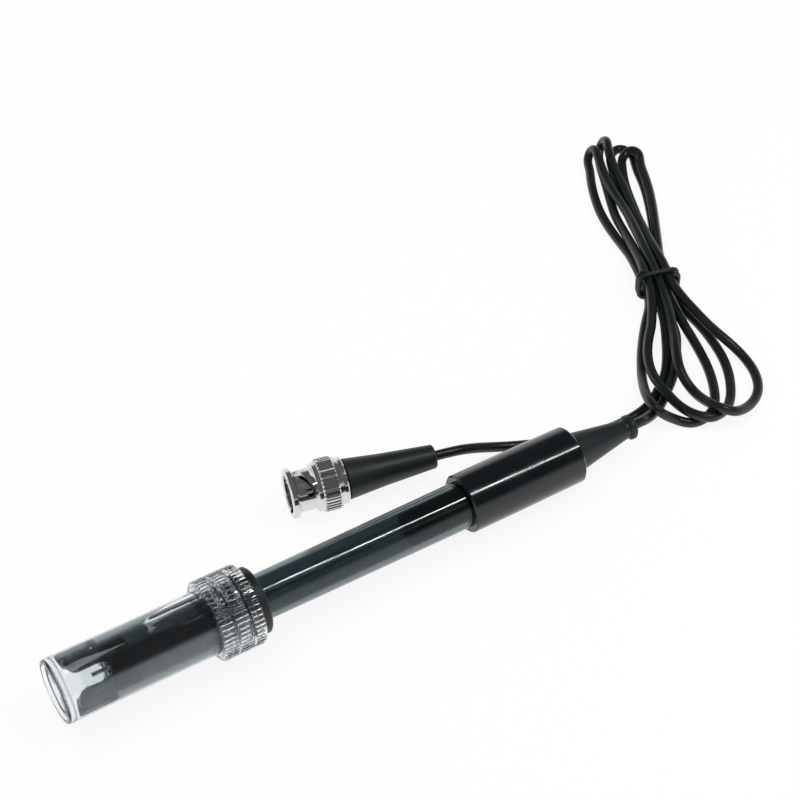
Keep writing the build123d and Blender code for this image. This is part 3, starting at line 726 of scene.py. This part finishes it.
def make_cable():
    """The whole free cable as one curve along its route."""
    sizes = bpy.context.scene.electrode_cable
    curve = bpy.data.curves.new("Cable", "CURVE")
    curve.dimensions = "3D"
    curve.resolution_u = 8
    curve.bevel_depth = sizes.diameter / 2
    curve.bevel_resolution = 5
    curve.use_fill_caps = True
    run = curve.splines.new("NURBS")
    run.points.add(len(CABLE_ROUTE) - 1)
    for point, spot in zip(run.points, CABLE_ROUTE):
        point.co = (*spot, 1.0)
    run.order_u = 3
    run.use_endpoint_u = True
    cable = bpy.data.objects.new("Cable", curve)
    bpy.context.scene.collection.objects.link(cable)
    curve.materials.append(finish("Cable jacket"))
    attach(cable, "electrode")
    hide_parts("cable_lead", "cable_tail", "cable_hank")


def make_tie():
    """Thin tie wound twice round the hank."""
    sizes = bpy.context.scene.electrode_tie
    half_width = sizes.width / 2
    low, high = 0.0008, sizes.height
    corner_size = 0.0021
    slant = 0.0006
    corners = (
        (half_width - corner_size, high - corner_size, 90),
        (half_width - corner_size, low + corner_size, 0),
        (corner_size - half_width, low + corner_size, -90),
        (corner_size - half_width, high - corner_size, -180),
    )
    turn = []
    for side, height, start in corners:
        for step in range(4):
            angle = math.radians(start - step * 30)
            turn.append((side + corner_size * math.cos(angle), height + corner_size * math.sin(angle)))
    points = []
    for wind in range(2):
        for k, (side, height) in enumerate(turn):
            drift = (wind + k / len(turn) - 1.0) * sizes.pitch
            points.append(tie_place(side, drift + slant * side / half_width, height))
    curve = bpy.data.curves.new("Tie", "CURVE")
    curve.dimensions = "3D"
    curve.resolution_u = 6
    curve.bevel_depth = sizes.thickness / 2
    curve.bevel_resolution = 3
    curve.use_fill_caps = True
    run = curve.splines.new("NURBS")
    run.points.add(len(points) - 1)
    for point, spot in zip(run.points, points):
        point.co = (*spot, 1.0)
    run.order_u = 4
    run.use_endpoint_u = True
    source = bpy.data.objects.new("Tie winding", curve)
    bpy.context.scene.collection.objects.link(source)
    bpy.context.view_layer.update()
    evaluated = source.evaluated_get(bpy.context.evaluated_depsgraph_get())
    mesh = bpy.data.meshes.new_from_object(evaluated)
    bpy.data.objects.remove(source)
    tie = new_piece("Tie", mesh, "Tie plastic", "electrode")
    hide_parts("hank_tie")


# Stage


def light_path_share(nodes, links, labels):
    """Mixing factor that is 1 for rays of the named kinds and 0 for the rest."""
    path = nodes.new("ShaderNodeLightPath")
    total = path.outputs[labels[0]]
    for label in labels[1:]:
        join = nodes.new("ShaderNodeMath")
        join.operation = "MAXIMUM"
        links.new(total, join.inputs[0])
        links.new(path.outputs[label], join.inputs[1])
        total = join.outputs[0]
    return total


def make_floor():
    """Pale floor that bends up at its back edge, shown nearly white to the camera."""
    sizes = bpy.context.scene.electrode_stage
    side, back, rise, bend = 2.6, 2.2, 0.35, 0.3
    sunk = 0.00002
    steps = 12
    rows = [(-side, 0.0), (back - bend, 0.0)]
    for k in range(1, steps + 1):
        angle = math.pi / 2 * k / steps
        rows.append((back - bend + bend * math.sin(angle), bend - bend * math.cos(angle)))
    rows.append((back, rise))
    bm = bmesh.new()
    verts = [[bm.verts.new((x, y, z - sunk)) for x in (-side, side)] for y, z in rows]
    for low, up in zip(verts, verts[1:]):
        bm.faces.new((low[0], low[1], up[1], up[0]))
    mesh = bpy.data.meshes.new("Floor")
    bm.to_mesh(mesh)
    bm.free()
    floor = bpy.data.objects.new("Floor", mesh)
    bpy.context.scene.collection.objects.link(floor)
    material = shader("Pale floor", tuple(sizes.floor_colour), 0.7)
    nodes, links = material.node_tree.nodes, material.node_tree.links
    glow = nodes.new("ShaderNodeEmission")
    glow.inputs["Strength"].default_value = 1.0
    seen = light_path_share(nodes, links, ["Is Camera Ray", "Is Glossy Ray", "Is Transmission Ray"])
    share = nodes.new("ShaderNodeMath")
    share.operation = "MULTIPLY"
    share.inputs[1].default_value = sizes.backdrop_white
    blend = nodes.new("ShaderNodeMixShader")
    links.new(seen, share.inputs[0])
    links.new(share.outputs[0], blend.inputs[0])
    links.new(nodes["Principled BSDF"].outputs[0], blend.inputs[1])
    links.new(glow.outputs[0], blend.inputs[2])
    links.new(blend.outputs[0], nodes["Material Output"].inputs["Surface"])
    mesh.materials.append(material)


def make_room():
    """White for the camera and low down all round, dim overhead in gloss and clear plastic."""
    sizes = bpy.context.scene.electrode_stage
    world = bpy.data.worlds.new("Studio")
    bpy.context.scene.world = world
    world.use_nodes = True
    nodes, links = world.node_tree.nodes, world.node_tree.links
    room = nodes["Background"]
    room.inputs["Color"].default_value = (1.0, 1.0, 1.0, 1.0)
    room.inputs["Strength"].default_value = sizes.room_light
    direction = nodes.new("ShaderNodeTexCoord")
    split = nodes.new("ShaderNodeSeparateXYZ")
    height = nodes.new("ShaderNodeMapRange")
    height.inputs["From Min"].default_value = 0.12
    height.inputs["From Max"].default_value = 0.40
    height.inputs["To Min"].default_value = 1.0
    height.inputs["To Max"].default_value = sizes.room_reflection
    walls = nodes.new("ShaderNodeBackground")
    walls.inputs["Color"].default_value = (0.95, 0.98, 1.0, 1.0)
    white = nodes.new("ShaderNodeBackground")
    white.inputs["Color"].default_value = (1.0, 1.0, 1.0, 1.0)
    mirrored = nodes.new("ShaderNodeMixShader")
    seen = nodes.new("ShaderNodeMixShader")
    links.new(direction.outputs["Generated"], split.inputs[0])
    links.new(split.outputs["Z"], height.inputs["Value"])
    links.new(height.outputs["Result"], walls.inputs["Strength"])
    bent = light_path_share(nodes, links, ["Is Glossy Ray", "Is Transmission Ray"])
    links.new(bent, mirrored.inputs[0])
    links.new(room.outputs[0], mirrored.inputs[1])
    links.new(walls.outputs[0], mirrored.inputs[2])
    links.new(light_path_share(nodes, links, ["Is Camera Ray"]), seen.inputs[0])
    links.new(mirrored.outputs[0], seen.inputs[1])
    links.new(white.outputs[0], seen.inputs[2])
    links.new(seen.outputs[0], nodes["World Output"].inputs["Surface"])


def lamp(name, spot, aim, width, height, power, mirrored=True):
    data = bpy.data.lights.new(name, "AREA")
    data.shape = "RECTANGLE"
    data.size = width
    data.size_y = height
    data.energy = power
    light = bpy.data.objects.new(name, data)
    bpy.context.scene.collection.objects.link(light)
    light.location = spot
    light.rotation_mode = "QUATERNION"
    light.rotation_quaternion = (aim - spot).to_track_quat("-Z", "Y")
    light.visible_glossy = mirrored


# Row of short lamps over the electrode: place in X and Y, and width, of each
STRIP_HEIGHT = 0.60
STRIP_LAMPS = [
    (0.170, -0.095, 0.030),
    (0.222, -0.145, 0.028),
    (0.273, -0.165, 0.026),
    (0.325, -0.200, 0.032),
    (0.388, -0.240, 0.030),
]


def make_lamps():
    sizes = bpy.context.scene.electrode_stage
    middle = Vector((0.03, 0.03, 0.0))
    lamp("Soft light overhead", Vector((-0.25, 0.35, 1.25)), middle, 0.9, 0.5,
         sizes.overhead_power, mirrored=False)
    lamp("Soft light by the camera", Vector((0.75, -0.75, 0.85)), middle, 0.5, 0.5,
         sizes.side_power, mirrored=False)
    for k, (x, y, width) in enumerate(STRIP_LAMPS):
        spot = Vector((x, y, STRIP_HEIGHT))
        power = sizes.strip_power * width
        lamp("Strip light %d" % (k + 1), spot, middle, width, sizes.strip_depth, power)


def make_camera():
    """Camera at the photograph's viewing angle."""
    scene = bpy.context.scene
    scene.view_settings.view_transform = "Standard"
    data = bpy.data.cameras.new("Camera")
    data.sensor_width = 36.0
    data.lens = 89.011
    data.clip_start = 0.01
    data.clip_end = 20.0
    camera = bpy.data.objects.new("Camera", data)
    scene.collection.objects.link(camera)
    right = Vector((0.852647, -0.521929, -0.024156))
    up = Vector((0.388936, 0.603154, 0.696372))
    back = Vector((-0.348887, -0.603154, 0.717275))
    turn = Matrix((right, up, back)).transposed()
    camera.matrix_world = Matrix.Translation((-0.1521508, -0.2856979, 0.3973916)) @ turn.to_4x4()
    scene.camera = camera


# Sizes and colours that can be changed


def colour_property(name, description, default):
    return bpy.props.FloatVectorProperty(
        name=name, description=description, subtype="COLOR", size=3, default=default)


def size_property(name, description, default):
    return bpy.props.FloatProperty(
        name=name, description=description, unit="LENGTH", default=default, min=0.0)


class FinishSizes(bpy.types.PropertyGroup):
    tube_colour: colour_property(
        "Tube", "Colour that one wall of the smoked tube lets through", (0.13, 0.168, 0.185))
    cap_colour: colour_property("Head cap", "Colour of the head cap", (0.0012, 0.0030, 0.0038))
    cable_colour: colour_property("Cable", "Colour of the cable's jacket", (0.0045, 0.0062, 0.0070))
    plating_colour: colour_property("Plating", "Colour of the plug's nickel plate", (0.72, 0.71, 0.69))


class CableSizes(bpy.types.PropertyGroup):
    diameter: size_property("Diameter", "Thickness of the cable", 0.0028)
    length: size_property("Length", "Length of the free cable", 1.08)


class TieSizes(bpy.types.PropertyGroup):
    width: size_property("Width", "Width of the winding across the hank", 0.0118)
    height: size_property("Height", "Top of the winding over the floor", 0.0090)
    thickness: size_property("Thickness", "Thickness of the tie", 0.0014)
    pitch: size_property("Pitch", "Step between the two turns", 0.0017)


class BottleSizes(bpy.types.PropertyGroup):
    edge_round: size_property("Edge round", "Rounding of the bottle's edges", 0.00025)
    floor_round: size_property("Floor round", "Rounding inside the bottle's closed end", 0.0009)
    thread_depth: size_property("Thread depth", "Height of the screw thread on the bottle's mouth", 0.00055)
    collar_thread: size_property("Collar thread", "Radius of the thread inside the collar", 0.0005)
    pocket_start: size_property(
        "Air pocket", "Distance from the closed end at which the air pocket begins", 0.0255)
    pocket_depth: size_property("Pocket depth", "Depth of the air pocket under the bottle's wall", 0.0019)
    bubble_count: bpy.props.IntProperty(
        name="Bubbles", description="Number of small bubbles", default=7, min=1)


class StageSizes(bpy.types.PropertyGroup):
    floor_colour: colour_property("Floor", "Colour of the floor", (0.93, 0.935, 0.94))
    backdrop_white: bpy.props.FloatProperty(
        name="Backdrop white", description="Share of plain white in the floor that the camera sees",
        default=0.88, min=0.0, max=1.0)
    room_light: bpy.props.FloatProperty(
        name="Room light", description="Strength of the light from all round", default=0.55, min=0.0)
    room_reflection: bpy.props.FloatProperty(
        name="Room reflection", description="Brightness of the room overhead in glossy surfaces",
        default=0.12, min=0.0)
    overhead_power: bpy.props.FloatProperty(
        name="Overhead lamp", description="Power of the soft light over the table",
        unit="POWER", default=6.0, min=0.0)
    side_power: bpy.props.FloatProperty(
        name="Side lamp", description="Power of the soft light by the camera",
        unit="POWER", default=2.0, min=0.0)
    strip_power: bpy.props.FloatProperty(
        name="Strip lamps", description="Power of each metre of strip lamp", default=6.0, min=0.0)
    strip_depth: size_property("Strip depth", "Depth of the strip lamps", 0.045)


# Operators


class ELECTRODE_OT_finishes(bpy.types.Operator):
    """Make the finishes and give each part its own"""

    bl_idname = "electrode.finishes"
    bl_label = "Finishes"

    def execute(self, context):
        make_finishes()
        for node, finish_name in FINISH_NAMES.items():
            slots = NODES[node].data.materials
            slots.clear()
            slots.append(finish(finish_name))
        return {"FINISHED"}


class ELECTRODE_OT_bottle(bpy.types.Operator):
    """Make the storage bottle, its thread, and the solution and bubbles in it"""

    bl_idname = "electrode.bottle"
    bl_label = "Storage bottle"

    def execute(self, context):
        make_bottle()
        make_solution()
        make_bubbles()
        make_collar_thread()
        return {"FINISHED"}


class ELECTRODE_OT_cable(bpy.types.Operator):
    """Lay the cable from the electrode through the hank to the plug"""

    bl_idname = "electrode.cable"
    bl_label = "Cable"

    def execute(self, context):
        make_cable()
        return {"FINISHED"}


class ELECTRODE_OT_tie(bpy.types.Operator):
    """Wind the tie round the hank"""

    bl_idname = "electrode.tie"
    bl_label = "Tie"

    def execute(self, context):
        make_tie()
        return {"FINISHED"}


class ELECTRODE_OT_stage(bpy.types.Operator):
    """Set the floor, the room, the lamps and the camera"""

    bl_idname = "electrode.stage"
    bl_label = "Stage"

    def execute(self, context):
        make_floor()
        make_room()
        make_lamps()
        make_camera()
        return {"FINISHED"}


class ELECTRODE_PT_panel(bpy.types.Panel):
    bl_idname = "ELECTRODE_PT_panel"
    bl_label = "pH electrode"
    bl_space_type = "VIEW_3D"
    bl_region_type = "UI"
    bl_category = "Electrode"

    def draw(self, context):
        for operator, group in STEPS:
            self.layout.operator(operator)
            settings = getattr(context.scene, group)
            for name in settings.__annotations__:
                self.layout.prop(settings, name)


STEPS = [
    ("electrode.finishes", "electrode_finish"),
    ("electrode.bottle", "electrode_bottle"),
    ("electrode.cable", "electrode_cable"),
    ("electrode.tie", "electrode_tie"),
    ("electrode.stage", "electrode_stage"),
]
GROUPS = {
    "electrode_finish": FinishSizes,
    "electrode_bottle": BottleSizes,
    "electrode_cable": CableSizes,
    "electrode_tie": TieSizes,
    "electrode_stage": StageSizes,
}
CLASSES = [
    *GROUPS.values(),
    ELECTRODE_OT_finishes,
    ELECTRODE_OT_bottle,
    ELECTRODE_OT_cable,
    ELECTRODE_OT_tie,
    ELECTRODE_OT_stage,
    ELECTRODE_PT_panel,
]


def register():
    for one in CLASSES:
        bpy.utils.register_class(one)
    for name, group in GROUPS.items():
        setattr(bpy.types.Scene, name, bpy.props.PointerProperty(type=group))


def unregister():
    for name in GROUPS:
        delattr(bpy.types.Scene, name)
    for one in reversed(CLASSES):
        bpy.utils.unregister_class(one)


def main():
    register()
    bpy.ops.electrode.finishes()
    bpy.ops.electrode.bottle()
    bpy.ops.electrode.cable()
    bpy.ops.electrode.tie()
    bpy.ops.electrode.stage()
    bpy.context.view_layer.update()


if __name__ == "__main__":
    main()
